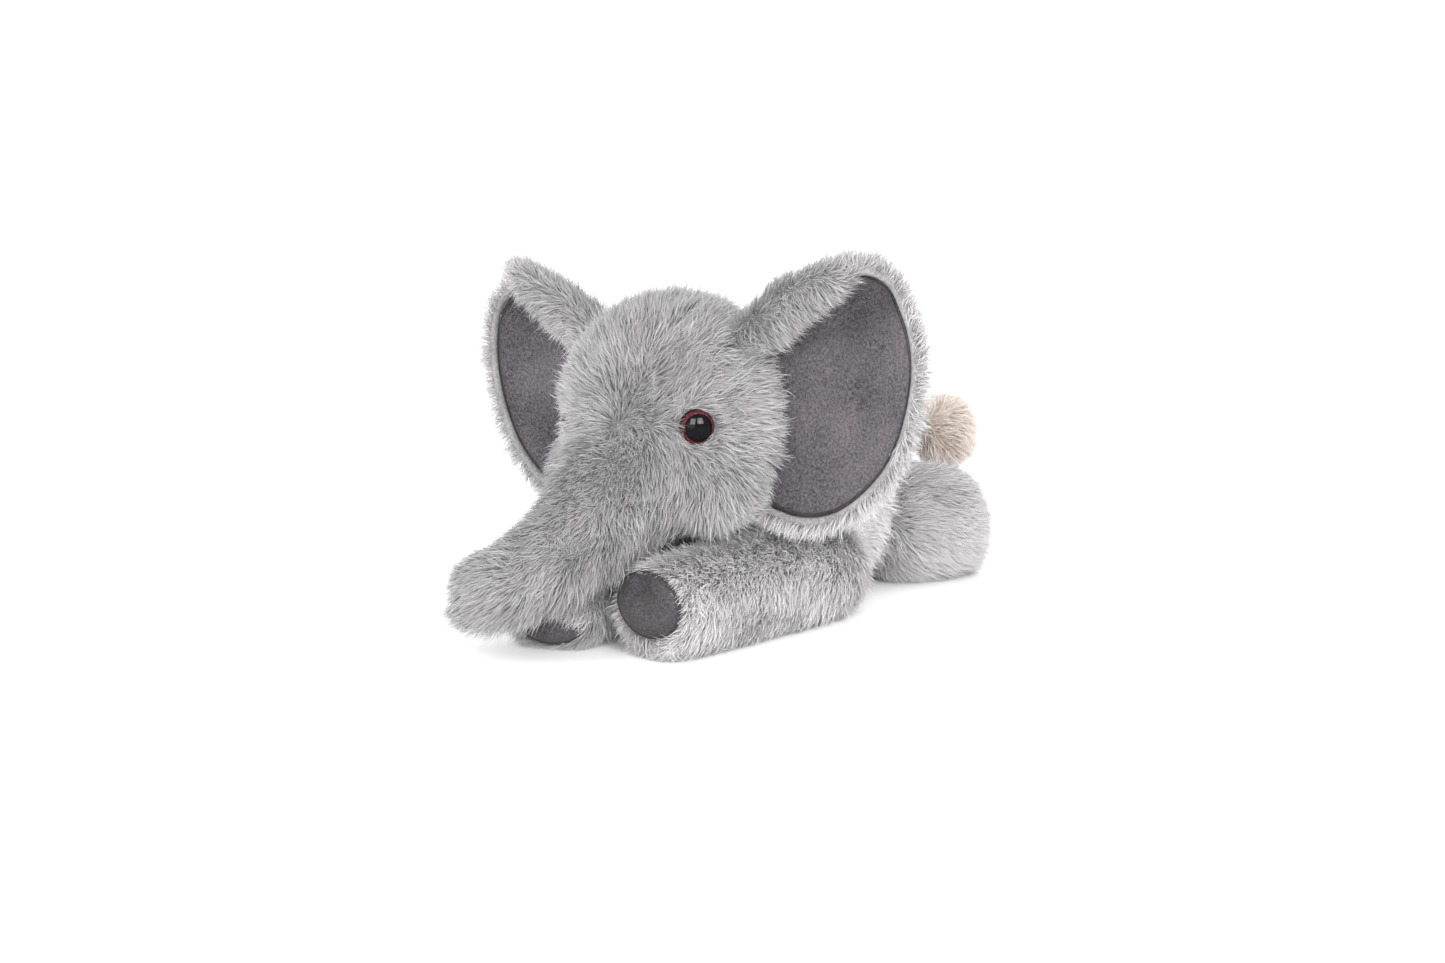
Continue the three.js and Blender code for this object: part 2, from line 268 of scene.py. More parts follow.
def fleece(name, rootColor, middleColor, tipColor, darkShare):
    # Colour of one strand: darker toward its root, partly the undercoat's own grey and partly painted
    # shade deep in the pile, light at its tip, and a tone of its own, which also carries painted light
    # and shade by region
    material, nodes, links, shader = newMaterial(name)
    layout = nodes.new("ShaderNodeUVMap")
    layout.uv_map = strandLayout
    split = nodes.new("ShaderNodeSeparateXYZ")
    links.new(layout.outputs["UV"], split.inputs[0])
    length = addRamp(nodes, (0.05, rootColor), (0.5, middleColor), (0.95, tipColor))
    links.new(split.outputs["Y"], length.inputs[0])
    tone = addRamp(nodes, (0.0, (darkShare, darkShare, darkShare * 1.01)), (1.0, (1, 1, 1)))
    links.new(split.outputs["X"], tone.inputs[0])
    blend = nodes.new("ShaderNodeMix")
    blend.data_type = "RGBA"
    blend.blend_type = "MULTIPLY"
    blend.inputs["Factor"].default_value = 1
    links.new(length.outputs["Color"], blend.inputs["A"])
    links.new(tone.outputs["Color"], blend.inputs["B"])
    links.new(blend.outputs["Result"], shader.inputs["Base Color"])
    setSockets(shader, {"Roughness": 0.62, "Specular IOR Level": 0.25})
    setSockets(shader, {"Sheen Weight": 0.25, "Sheen Roughness": 0.5})
    return material


def speckled(name, darkColor, lightColor, grain, patch, bump, roughness, sheen=0.0):
    # Cloth with a fine grain, broad soft patches and a rough surface
    material, nodes, links, shader = newMaterial(name)
    fine = addNoise(nodes, links, 1 / (grain * mm), 3, roughness=0.7)
    broad = addNoise(nodes, links, 1 / (patch * mm), 2)
    sharpen = nodes.new("ShaderNodeMapRange")
    setSockets(sharpen, {"From Min": 0.34, "From Max": 0.66})
    links.new(fine.outputs["Fac"], sharpen.inputs["Value"])
    share = multiplyAdd(nodes, links, sharpen, 0.68)
    lower = multiplyAdd(nodes, links, broad, 0.9, -0.28)
    links.new(lower.outputs["Value"], share.inputs[2])
    colors = addRamp(nodes, (0.08, darkColor), (0.92, lightColor))
    links.new(share.outputs["Value"], colors.inputs["Fac"])
    links.new(colors.outputs["Color"], shader.inputs["Base Color"])
    height = nodes.new("ShaderNodeBump")
    setSockets(height, {"Strength": bump, "Distance": grain * 0.5 * mm})
    links.new(fine.outputs["Fac"], height.inputs["Height"])
    links.new(height.outputs["Normal"], shader.inputs["Normal"])
    setSockets(shader, {"Roughness": roughness, "Sheen Weight": sheen, "Sheen Roughness": 0.4})
    return material


def glossy(name, color, streak, roughness=0.06, specular=0.06):
    # Moulded plastic with a clear gloss and fine streaks of dye
    material, nodes, links, shader = newMaterial(name)
    noise = addNoise(nodes, links, 900, 2)
    colors = addRamp(nodes, (0.3, color), (0.7, streak))
    links.new(noise.outputs["Fac"], colors.inputs["Fac"])
    links.new(colors.outputs["Color"], shader.inputs["Base Color"])
    setSockets(shader, {"Roughness": roughness, "Specular IOR Level": specular})
    return material


greyFur = fleece("grey_fur", (0.44, 0.43, 0.435), (0.68, 0.665, 0.672), (0.80, 0.784, 0.791), 0.42)
beigeFur = fleece("beige_fur", (0.66, 0.55, 0.47), (0.86, 0.77, 0.70), (0.94, 0.885, 0.835), 0.70)
cloths = {  # dark and light colour, grain and patch sizes, bump, roughness and sheen
    "grey_backing": ((0.15, 0.146, 0.148), (0.32, 0.312, 0.316), 1.3, 14, 0.6, 0.9),
    "beige_backing": ((0.45, 0.35, 0.28), (0.68, 0.56, 0.47), 1.3, 14, 0.6, 0.9),
    # Painted shade: the soles' velour is a darker copy of the ear linings' velour
    "sole_velour_painted_shade": ((0.010, 0.0085, 0.0095), (0.080, 0.070, 0.077), 1.0, 22, 0.9, 0.9, 0.08),
    "mauve_velour": ((0.016, 0.0138, 0.0155), (0.132, 0.118, 0.129), 1.0, 30, 0.9, 0.9, 0.12),
    "black_thread": ((0.008, 0.008, 0.009), (0.03, 0.028, 0.03), 0.5, 5, 0.7, 0.6),
    "fibre_fill": ((0.72, 0.71, 0.68), (0.92, 0.91, 0.88), 2.5, 18, 1.0, 0.95),
    "pellet_cloth": ((0.52, 0.49, 0.42), (0.74, 0.71, 0.63), 0.9, 12, 0.6, 0.9),
}
mixed = {name: speckled(name, *values) for name, values in cloths.items()}
underCloth, beigeCloth, soleShadedVelour, velourCloth, blackThread, fibreFill, pelletCloth = mixed.values()
pupilPlastic = glossy("black_plastic", (0.003, 0.003, 0.004), (0.005, 0.005, 0.006))
irisPlastic = glossy("brown_plastic", (0.028, 0.007, 0.007), (0.13, 0.034, 0.036))
clearWasher = glossy("washer_plastic", (0.68, 0.68, 0.66), (0.76, 0.76, 0.74), 0.45, 0.16)
print("materials mixed")

padding = {
    "voxel": 4.0,
    "smoothing": 12,
    "pressure": 4.0,
    "quality": 4,
    "frames": 20,
    "cap": 3.0,  # no point is blown out further than this
    "clothThickness": 1.6,
    "floorGap": 0.9,
}


def nodeMatrix(name):
    return frame["nodes"][name].matrix_world


def paddedForm(name, nodes, voxel=None, smoothing=None, inflate=True, fills=()):
    # One closed form from copies of the frame's solids, rounded, then blown up by cloth simulation
    work = bmesh.new()
    for node in nodes:
        copy = frame["nodes"][node].data.copy()
        copy.transform(nodeMatrix(node))
        work.from_mesh(copy)
        bpy.data.meshes.remove(copy)
    for middle, half in fills:  # extra stuffing that rounds off a join
        place = Matrix.Translation(Vector(middle) * mm) @ Matrix.Diagonal((*(Vector(half) * mm), 1))
        bmesh.ops.create_icosphere(work, subdivisions=3, radius=1, matrix=place)
    mesh = bpy.data.meshes.new(name)
    work.to_mesh(mesh)
    work.free()
    item = addObject(name, mesh)
    remesh = item.modifiers.new("remesh", "REMESH")
    remesh.mode = "VOXEL"
    remesh.voxel_size = (voxel or padding["voxel"]) * mm
    remesh.use_smooth_shade = True
    soften = item.modifiers.new("soften", "SMOOTH")
    soften.factor = 0.5
    soften.iterations = smoothing or padding["smoothing"]
    settle(item)
    keepLargest(item)
    start = readPoints(item.data)
    if inflate:
        cloth = item.modifiers.new("puff", "CLOTH")
        cloth.settings.use_pressure = True
        cloth.settings.uniform_pressure_force = padding["pressure"]
        cloth.settings.effector_weights.gravity = 0
        cloth.settings.quality = padding["quality"]
        for number in range(1, padding["frames"] + 1):
            scene.frame_set(number)
        settle(item)
        scene.frame_set(1)
        moved = readPoints(item.data) - start
        far = np.linalg.norm(moved, axis=1, keepdims=True)
        moved *= np.minimum(1, padding["cap"] / np.maximum(far, 1e-9))
        writePoints(item.data, start + moved)
    finer = item.modifiers.new("finer", "SUBSURF")
    finer.levels = finer.render_levels = 1
    settle(item)
    points = readPoints(item.data)
    points[:, 2] = np.maximum(points[:, 2], padding["floorGap"])
    writePoints(item.data, points)
    return item


def keepLargest(item):  # drop the small closed bits that a remesh can leave inside
    work = bmesh.new()
    work.from_mesh(item.data)
    work.faces.ensure_lookup_table()
    seen, groups = set(), []
    for face in work.faces:
        if face.index in seen:
            continue
        group, stack = [], [face]
        seen.add(face.index)
        while stack:
            current = stack.pop()
            group.append(current)
            for edge in current.edges:
                for other in edge.link_faces:
                    if other.index not in seen:
                        seen.add(other.index)
                        stack.append(other)
        groups.append(group)
    groups.sort(key=len)
    for group in groups[:-1]:
        bmesh.ops.delete(work, geom=group, context="FACES")
    work.to_mesh(item.data)
    work.free()


headNodes = [
    "head_side_left", "head_side_right", "crown_strip", "chin_panel", "head_stuffing",
    "trunk_panel_left", "trunk_panel_right", "trunk_stuffing",
]
muzzleFills = [  # middle and half sizes
    ((0, -103, 75), (32, 22, 29)), ((0, -116, 68), (25, 18, 23)), ((-33, -169, 27), (12, 11, 13.5)),
    ((31, -93, 67), (18, 20, 17)), ((-29, -93, 63), (18, 20, 17)),  # full cheeks
]
torsoNodes = ["torso_panel_left", "torso_panel_right", "belly_panel", "torso_stuffing"]
legNames = ["front_leg_left", "front_leg_right", "rear_leg_left", "rear_leg_right"]
forms = {
    "torso": paddedForm("torso_form", torsoNodes),
    "head": paddedForm("head_form", headNodes, 3.6, 14, fills=muzzleFills),
    "tail": paddedForm("tail_form", ["tail_stem"], 2.0, 6, inflate=False),
    "tuft": paddedForm("tuft_form", ["tail_tuft"], 2.5, 8, inflate=False),
}
for leg in legNames:
    nodes = [f"{leg}_{part}" for part in ("panel_outer", "panel_inner", "stuffing", "sole")]
    forms[leg] = paddedForm(f"{leg}_form", nodes, 3.4, 8)


def surfaceTree(item):  # for finding the nearest place on a form, in millimetres
    points = [tuple(point) for point in readPoints(item.data)]
    return BVHTree.FromPolygons(points, [tuple(face.vertices) for face in item.data.polygons])


trees = {name: surfaceTree(item) for name, item in forms.items()}
print("padded forms made:", {name: len(item.data.polygons) for name, item in forms.items()})

pile = {
    "perSquareMm": 2.5,
    "width": 0.31,
    "widthSpread": (0.75, 1.2),
    "segments": 3,
    "length": 10.5,
    "lengthSpread": 0.3,
    "rise": (68, 18),  # degrees above the cloth at the root and at the tip
    "riseSpread": 0.16,
    "droop": 0.12,
    "clumpEvery": 9,  # strands in one tuft of pile
    "clumpPull": 0.26,
    "wander": 0.34,  # how far the comb direction strays, over this distance
    "wanderSize": 15,
    "parting": 0.18,  # how unevenly the pile stands, so that it parts here and there
    "partingSize": 13,
    "jitter": 0.34,
    "twist": 1.15,
    "patchSize": 24,
    "finePatchSize": 7,
    "tone": 0.46,
    "patchTone": 0.13,
    "strandTone": 0.09,
    "topPaintedShade": 0.14,  # painted shade: pile that faces up is a little darker
    "longShare": 0.07,  # strands that stand out beyond the rest
    "longReach": 1.3,
    "sink": 0.7,
    "floorGap": 0.35,
}
contact = {  # where two forms press together
    "search": 12,
    "inside": -0.5,  # no strand is rooted this deep in a neighbour
    "pressed": 3.4,  # nor this near to a neighbour that faces it
    "facing": -0.5,
    "reach": 9,
    "clearance": 0.8,
    "lift": 1.0,
}
toneCells = 64


def scatter(mesh, count, draw):
    # Even places over a surface, with their normals
    mesh.calc_loop_triangles()
    corners = np.empty(len(mesh.loop_triangles) * 3, np.int32)
    mesh.loop_triangles.foreach_get("vertices", corners)
    corners = corners.reshape(-1, 3)
    points, normals = readPoints(mesh), readPoints(mesh, "normal")
    a, b, c = (points[corners[:, k]] for k in range(3))
    areas = np.linalg.norm(np.cross(b - a, c - a), axis=1) / 2
    ends = np.cumsum(areas)
    picks = (np.arange(count) + draw.random(count)) / count * ends[-1]
    chosen = np.minimum(np.searchsorted(ends, picks), len(ends) - 1)
    s, t = draw.random(count), draw.random(count)
    fold = s + t > 1
    s[fold], t[fold] = 1 - s[fold], 1 - t[fold]
    weights = np.stack([1 - s - t, s, t], axis=1)[:, :, None]
    trio = corners[chosen]
    return (points[trio] * weights).sum(axis=1), unit((normals[trio] * weights).sum(axis=1))


def meshArea(mesh):
    return sum(face.area for face in mesh.polygons) / mm**2


def strandMesh(name, paths, sides, widths, tones, material):
    # Flat tapering strands, two points at each step and one at the tip
    count, steps = paths.shape[0], paths.shape[1] - 1
    taper = np.array([1.0, 0.95, 0.78, 0.55])[:steps]
    half = widths[:, None, None] * taper[None, :, None] / 2
    left = paths[:, :-1] - sides[:, None, :] * half
    right = paths[:, :-1] + sides[:, None, :] * half
    each, lowest = 2 * steps + 1, 0.25
    points = np.empty((count, each, 3))
    points[:, 0:-1:2], points[:, 1::2], points[:, -1] = left, right, paths[:, -1]
    points[:, :, 2] = np.maximum(points[:, :, 2], lowest)
    quads = [(2 * k, 2 * k + 1, 2 * k + 3, 2 * k + 2) for k in range(steps - 1)]
    pattern = [corner for quad in quads for corner in quad]
    pattern += [2 * steps - 2, 2 * steps - 1, 2 * steps]
    base = np.arange(count)[:, None]
    corners = (base * each + np.array(pattern)[None]).ravel()
    loopStarts = (base * len(pattern) + 4 * np.arange(steps)[None]).ravel()
    mesh = bpy.data.meshes.new(name)
    mesh.vertices.add(count * each)
    mesh.vertices.foreach_set("co", (points * mm).ravel())
    mesh.loops.add(len(corners))
    mesh.loops.foreach_set("vertex_index", corners.astype(np.int32))
    mesh.polygons.add(len(loopStarts))
    mesh.polygons.foreach_set("loop_start", loopStarts.astype(np.int32))
    mesh.update(calc_edges=True)
    mesh.polygons.foreach_set("use_smooth", np.ones(len(loopStarts), bool))
    # The layout: each strand keeps to one narrow cell for its tone, and runs up it from root to tip
    cell = np.clip((tones * toneCells).astype(int), 0, toneCells - 1)
    edge, margin = 0.12 / toneCells, 0.01
    low, high = cell / toneCells + edge, (cell + 1) / toneCells - edge
    wide, along = np.empty((count, each)), np.empty((count, each))
    wide[:, 0:-1:2], wide[:, 1::2], wide[:, -1] = low[:, None], high[:, None], (low + high) / 2
    shares = np.arange(steps) / steps
    along[:, 0:-1:2], along[:, 1::2], along[:, -1] = shares, shares, 1
    flat = np.stack([wide.ravel(), along.ravel() * (1 - 2 * margin) + margin], axis=1)
    layer = mesh.uv_layers.new(name=strandLayout)
    layer.data.foreach_set("uv", flat[corners].astype(np.float32).ravel())
    mesh.materials.append(material)
    return addObject(name, mesh)


def clearOf(roots, normals, near):  # no fur inside a joint, where two forms press together
    clear = np.ones(len(roots), bool)
    for other in near:
        tree = trees[other]
        for i, root in enumerate(roots):
            found = tree.find_nearest(Vector(root), contact["search"])
            if found[0] is None:
                continue
            offset = Vector(root) - found[0]
            facing = Vector(normals[i]).dot(found[1]) < contact["facing"]
            pressed = offset.length < contact["pressed"] and facing
            if offset.dot(found[1]) < contact["inside"] or pressed:
                clear[i] = False
    return clear


def layOn(paths, near):  # strands lie on the neighbour, not inside it
    for other in near:
        tree = trees[other]
        for k in range(1, paths.shape[1]):
            for i in range(len(paths)):
                point = Vector(paths[i, k])
                found = tree.find_nearest(point, contact["reach"])
                if found[0] is None:
                    continue
                if (point - found[0]).dot(found[1]) < contact["clearance"]:
                    paths[i, k] = found[0] + found[1] * contact["lift"]


def leanTogether(paths, roots, look, draw):  # neighbouring strands lean together into tufts
    steps = look["segments"]
    seeds = np.arange(0, len(roots), look["clumpEvery"])
    draw.shuffle(seeds)
    finder = KDTree(len(seeds))
    for place, index in enumerate(seeds):
        finder.insert(roots[index], place)
    finder.balance()
    nearest = np.array([finder.find(root)[1] for root in roots])
    leader = seeds[nearest]
    pull = look["clumpPull"] * (0.55 + 0.6 * draw.random(len(seeds)))[nearest]
    pull = pull * draw.uniform(0.5, 1.1, len(roots))
    for k in range(1, steps + 1):
        share = (pull * (k / steps) ** 1.6)[:, None]
        paths[:, k] = paths[:, k] * (1 - share) + paths[leader, k] * share


def growFur(name, mesh, comb, material, seed, keep=None, near=(), **changes):
    look = {**pile, **changes}
    draw = np.random.default_rng(seed)
    roots, normals = scatter(mesh, int(meshArea(mesh) * look["perSquareMm"]), draw)
    if keep is not None:
        kept = keep(roots, normals)
        roots, normals = roots[kept], normals[kept]
    clear = clearOf(roots, normals, near)
    roots, normals = roots[clear], normals[clear]
    count = len(roots)
    flow, lengthShare, riseShare, *paintedLightAndShade = comb(roots, normals)
    stray = look["wander"] * waveVector(roots, look["wanderSize"], seed + 11)
    flow = unit(across(flow, normals)) + stray
    flow = flow + look["jitter"] * draw.normal(size=(count, 3))
    flow = unit(across(flow, normals))
    lengths = look["length"] * lengthShare * (1 + look["lengthSpread"] * draw.uniform(-1, 0.6, count))
    rise = np.radians(np.array(look["rise"]))
    isLong = draw.random(count) < look["longShare"]
    lengths = np.where(isLong, lengths * look["longReach"], lengths)
    parting = look["parting"] * waveNoise(roots, look["partingSize"], seed + 5)
    unrest = 1 + look["riseSpread"] * draw.normal(size=count) + parting
    lift = riseShare * np.where(isLong, look["longReach"], 1.0) * unrest
    steps = look["segments"]
    paths = np.empty((count, steps + 1, 3))
    paths[:, 0] = roots - normals * look["sink"]
    for k in range(steps):
        share = (k + 0.5) / steps
        angle = np.clip((rise[0] * (1 - share) + rise[1] * share) * lift, -0.1, 1.45)[:, None]
        way = unit(normals * np.sin(angle) + flow * np.cos(angle) - up * look["droop"] * share)
        paths[:, k + 1] = paths[:, k] + way * (lengths / steps)[:, None]
    leanTogether(paths, roots, look, draw)
    layOn(paths, near)
    paths[:, :, 2] = np.maximum(paths[:, :, 2], look["floorGap"])
    ways = unit(paths[:, -1] - paths[:, 0])
    sides = unit(np.cross(ways, normals))
    twist = draw.uniform(-look["twist"], look["twist"], count)[:, None]
    sides = unit(sides * np.cos(twist) + np.cross(ways, sides) * np.sin(twist))
    broadPatch = waveNoise(roots, look["patchSize"], seed + 3)
    patch = broadPatch * 0.5 + waveNoise(roots, look["finePatchSize"], seed + 7) * 0.25
    # Painted shade on pile that faces up, with the painted light and shade that the comb returns
    shade = look["topPaintedShade"] * smoothStep(normals[:, 2], 0.2, 1.0)
    shade = shade - (paintedLightAndShade[0] if paintedLightAndShade else 0)
    tones = look["tone"] - shade + look["patchTone"] * patch
    tones = tones + look["strandTone"] * draw.normal(size=count)
    widths = look["width"] * draw.uniform(*look["widthSpread"], count)
    return strandMesh(name, paths, sides, widths, np.clip(tones, 0, 0.999), material)


def cutPanels(form, cuts, nameOf):
    # The form's surface cut along its seams, one open mesh for each numbered panel
    work = bmesh.new()
    work.from_mesh(form.data)
    for point, normal in cuts:
        everything = work.verts[:] + work.edges[:] + work.faces[:]
        place = Vector(point) * mm
        bmesh.ops.bisect_plane(work, geom=everything, plane_co=place, plane_no=normal, dist=1e-6)
    work.normal_update()
    groups = {}
    for face in work.faces:
        groups.setdefault(nameOf(face.calc_center_median() / mm), []).append(face)
    meshes = {}
    for name, faces in groups.items():
        numbers, points, polygons = {}, [], []
        for face in faces:
            polygon = []
            for vert in face.verts:
                if vert.index not in numbers:
                    numbers[vert.index] = len(points)
                    points.append(vert.co / mm)
                polygon.append(numbers[vert.index])
            polygons.append(polygon)
        meshes[name] = meshFrom(name, points, polygons)
    work.free()
    return enumerate(sorted(meshes.items()))


def backedPanel(name, mesh, material):
    # The woven backing of a fur panel, with its thickness on the inside
    item = addObject(name, mesh)
    thicken = item.modifiers.new("thicken", "SOLIDIFY")
    thicken.thickness = padding["clothThickness"] * mm
    thicken.offset = -1
    settle(item)
    item.data.materials.clear()
    item.data.materials.append(material)
    return item


def fixOn(item, body, bend=None):  # on one body; with a bend, its place is only baked into its mesh
    if bend:
        start, end = (tuple(np.array(place) * mm) for place in bend[2:])
        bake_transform(item)
    else:
        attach(item, body)


def finishPiece(item, slotName, body, bend=None, node=None):
    if node:
        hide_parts(node)
    fixOn(item, body, bend)


def dressPanel(node, mesh, comb, seed, body, bend=None, keep=None, near=(), material=greyFur, **changes):
    # A panel of the cover: its fur, and the cloth that the fur grows on
    slotName, backing = ("tuft_fur", beigeCloth) if material is beigeFur else ("fur_fabric", underCloth)
    fur = growFur(f"{node}_fur", mesh, comb, material, seed, keep, near, **changes)
    finishPiece(fur, slotName, body, bend)
    cloth = backedPanel(f"{node}_cloth", mesh, backing)
    finishPiece(cloth, slotName, body, bend, node)


def ones(points):
    return np.ones(len(points))


headLook = {
    "faceCentre": (0, -130, 90),  # the pile is combed away from here
    "sideSeam": 15,
    "chinSeam": 80,
    "roll": -3.5,  # degrees that the head leans to one side
    "middle": (0, -76, 91),
    "eyeAngle": 46,  # degrees from straight ahead
    "eyeShift": (4.4, 1.2, 0.9),  # out, in toward the trunk, and down
    "eyeClear": 8.5,  # no pile is rooted this near to the middle of an eye
    "eyeFlow": 1.3,  # how strongly the pile turns away from an eye, and how far around it
    "eyeFlowSize": 12,
    "trunkShort": 0.2,  # the trunk's pile is shorter, but longer on its underside
    "trunkLong": 0.4,
    # Painted shade: the head's pile is given a darker tone than the body's and the legs'
    "tone": 0.16,
}
turnHead = Matrix.Rotation(math.radians(headLook["roll"]), 3, "Y")
headMiddle = Vector(headLook["middle"])


def withHead(point):  # a place on the upright head, moved as the head leans
    return turnHead @ (Vector(point) - headMiddle) + headMiddle


def boxMiddle(node):
    low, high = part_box(node)
    return np.array((low + high) / 2) / mm


trunkLook = {
    "path": [(0, -101, 80), (-1, -121, 67), (-6, -141, 51), (-16, -160, 38), (-36, -176, 30)],
    "cut": (0, -113, 73),  # where the trunk's panels are sewn to the face
    "way": (0, -0.84, -0.545),
    "bendOver": 26,
}
trunkCut, trunkWay = withHead(trunkLook["cut"]), turnHead @ Vector(trunkLook["way"])
trunkRoot = withHead(trunkLook["path"][0])
trunkRun = Vector(trunkLook["path"][-1]) - Vector(trunkLook["path"][0])
trunkSide = turnHead @ trunkRun.cross(Vector((0, 0, 1))).normalized()
trunkBend = ("head", "trunk", trunkCut, trunkCut + trunkWay * trunkLook["bendOver"])
eyeSeats = {}
for side, sign in (("left", 1), ("right", -1)):
    angle = math.radians(headLook["eyeAngle"])
    axis = np.array(turnHead @ Vector((sign * math.sin(angle), -math.cos(angle), 0)))
    inward = unit(np.cross(axis, up)) * sign
    out, toTrunk, down = headLook["eyeShift"]
    middle = boxMiddle(f"eye_{side}") + axis * out + inward * toTrunk - up * down
    eyeSeats[side] = (middle, axis)


def combHead(points, normals):
    away = points - np.array(headLook["faceCentre"])
    flow = unit(away) + np.array([0, 0.12, -0.22])
    share, rise = ones(points), ones(points)
    for middle, _ in eyeSeats.values():
        offset = points - middle
        distance = np.linalg.norm(offset, axis=1)
        weight = np.exp(-(distance**2) / (2 * headLook["eyeFlowSize"] ** 2))[:, None]
        lowerLid = smoothStep(-offset[:, 2], 2, 6) * (1 - smoothStep(distance, 10, 14))
        flow = flow + headLook["eyeFlow"] * weight * unit(offset) * (1 - 2.2 * lowerLid[:, None])
        share = share * (0.84 + 0.16 * smoothStep(distance, 8, 17)) * (1 - 0.2 * lowerLid)
    onCrown = smoothStep(points[:, 2], 112, 138)
    onFace = 1 - smoothStep(np.linalg.norm(away, axis=1), 12, 42)
    rise = rise * (1 + 0.12 * onCrown + 0.16 * onFace)
    beyond = (points - np.array(trunkCut)) @ np.array(trunkWay)
    onTrunk = smoothStep(beyond, -12, 14)[:, None] * smoothStep(-points[:, 1], 88, 104)[:, None]
    tangents, _ = alongPath(points, trunkLook["path"])
    flow = unit(flow) * (1 - onTrunk) + (tangents + np.array([0, 0, -0.15])) * onTrunk
    onTrunk = onTrunk[:, 0]
    rise = rise * (1 + 0.12 * onTrunk)
    underside = smoothStep(-normals[:, 2], -0.1, 0.8)
    share = share * (1 - headLook["trunkShort"] * onTrunk + headLook["trunkLong"] * onTrunk * underside)
    # Painted light: the back of the head is brought up toward the body's paler tone, and its left side
    # is made a little brighter
    paintedLightAndShade = 0.05 * smoothStep(points[:, 0], 0, 40) + 0.4 * smoothStep(points[:, 1], -72, -45)
    return flow, share, rise, paintedLightAndShade


def keepOffEyes(points, normals):
    kept = np.ones(len(points), bool)
    for middle, _ in eyeSeats.values():
        lowerLid = smoothStep(middle[2] - points[:, 2], 2, 6)
        kept &= np.linalg.norm(points - middle, axis=1) > headLook["eyeClear"] - 0.9 * lowerLid
    return kept


def headPanelOf(centre):
    if (centre - trunkCut).dot(trunkWay) > 0:
        return "trunk_panel_right" if (centre - trunkRoot).dot(trunkSide) > 0 else "trunk_panel_left"
    upright = turnHead.inverted() @ (centre - headMiddle) + headMiddle
    if abs(upright.x) > headLook["sideSeam"]:
        return "head_side_left" if upright.x > 0 else "head_side_right"
    return "crown_strip" if upright.z > headLook["chinSeam"] else "chin_panel"


sideWay, upWay = turnHead @ Vector((1, 0, 0)), turnHead @ Vector((0, 0, 1))
headCuts = [(withHead((sign * headLook["sideSeam"], -76, 91)), sideWay) for sign in (1, -1)]
headCuts.append((withHead((0, -76, headLook["chinSeam"])), upWay))
headCuts += [(trunkCut, trunkWay), (trunkRoot, trunkSide)]
for number, (node, mesh) in cutPanels(forms["head"], headCuts, headPanelOf):
    body, bend = ("trunk", trunkBend) if node.startswith("trunk") else ("head", None)
    dressPanel(
        node, mesh, combHead, 100 + number, body, bend=bend, keep=keepOffEyes, near=("torso",),
        tone=headLook["tone"],
    )
print("head and trunk covered")

torsoLook = {
    "comb": (0.0, 0.85, -0.45),
    "spread": 0.2,  # to either side of the back seam
    "rise": 0.95,
    "bellySeam": 17,
    "bellyPile": 0.7,  # strands in a square millimetre, thin where it lies on the floor
    "near": ("head", "tail", *legNames),
    # Painted light: the torso's pile is given a much paler tone than the head's
    "pile": {"perSquareMm": 3.0, "parting": 0.08, "clumpPull": 0.16, "wander": 0.25, "tone": 0.92},
}


def combTorso(points, normals):
    flow = np.tile(torsoLook["comb"], (len(points), 1))
    flow[:, 0] += torsoLook["spread"] * np.sign(points[:, 0])
    return flow, ones(points), ones(points) * torsoLook["rise"]


def torsoPanelOf(centre):
    if centre.z < torsoLook["bellySeam"]:
        return "belly_panel"
    return "torso_panel_left" if centre.x > 0 else "torso_panel_right"


seamPlace = (0, 0, torsoLook["bellySeam"])
torsoCuts = [(seamPlace, (0, 0, 1)), (seamPlace, (1, 0, 0))]
for number, (node, mesh) in cutPanels(forms["torso"], torsoCuts, torsoPanelOf):
    torsoPile = dict(torsoLook["pile"])
    if node == "belly_panel":
        torsoPile["perSquareMm"] = torsoLook["bellyPile"]
    dressPanel(node, mesh, combTorso, 300 + number, "torso", near=torsoLook["near"], **torsoPile)
print("torso covered")

legPile = {
    "perSquareMm": 3.1, "jitter": 0.3, "wander": 0.2, "parting": 0.06, "clumpPull": 0.12,
    "lengthSpread": 0.22, "rise": (58, 16), "longShare": 0.03,
}
legComb = {"down": -0.35, "outward": 0.35, "overEnd": 0.4, "fan": 0.5, "length": 0.98}
frontReach, rearReach = 22, 14  # how far down the leg the given bend reaches
# Painted light: the legs' pile is given paler tones than the head's, most on the front left leg, which
# lies in the shade of the head and ear
rearLeg = {"sole": (17.5, 17.5), "soleHeight": 21.5, "bendReach": rearReach, "tone": 0.6}
legLook = {
    "front_leg_left": {
        "path": [(49, -16, 20), (42, -57, 19), (34, -98, 18.5), (26, -138, 18.5)],
        "sole": (17.6, 13.6), "pucker": 1, "soleHeight": 22.6, "bendReach": frontReach, "tone": 0.82,
    },
    "front_leg_right": {
        "path": [(-49, -16, 20), (-38, -60, 18), (-27, -104, 15.5), (-15, -149, 13.5)],
        "sole": (14, 7.5), "soleHeight": 10.5, "bendReach": frontReach, "tone": 0.66,
    },
    "rear_leg_left": {"path": [(30, 36, 23), (46, 56, 23), (61, 80, 22)], **rearLeg},
    "rear_leg_right": {"path": [(-30, 36, 23), (-46, 56, 23), (-61, 80, 22)], **rearLeg},
}


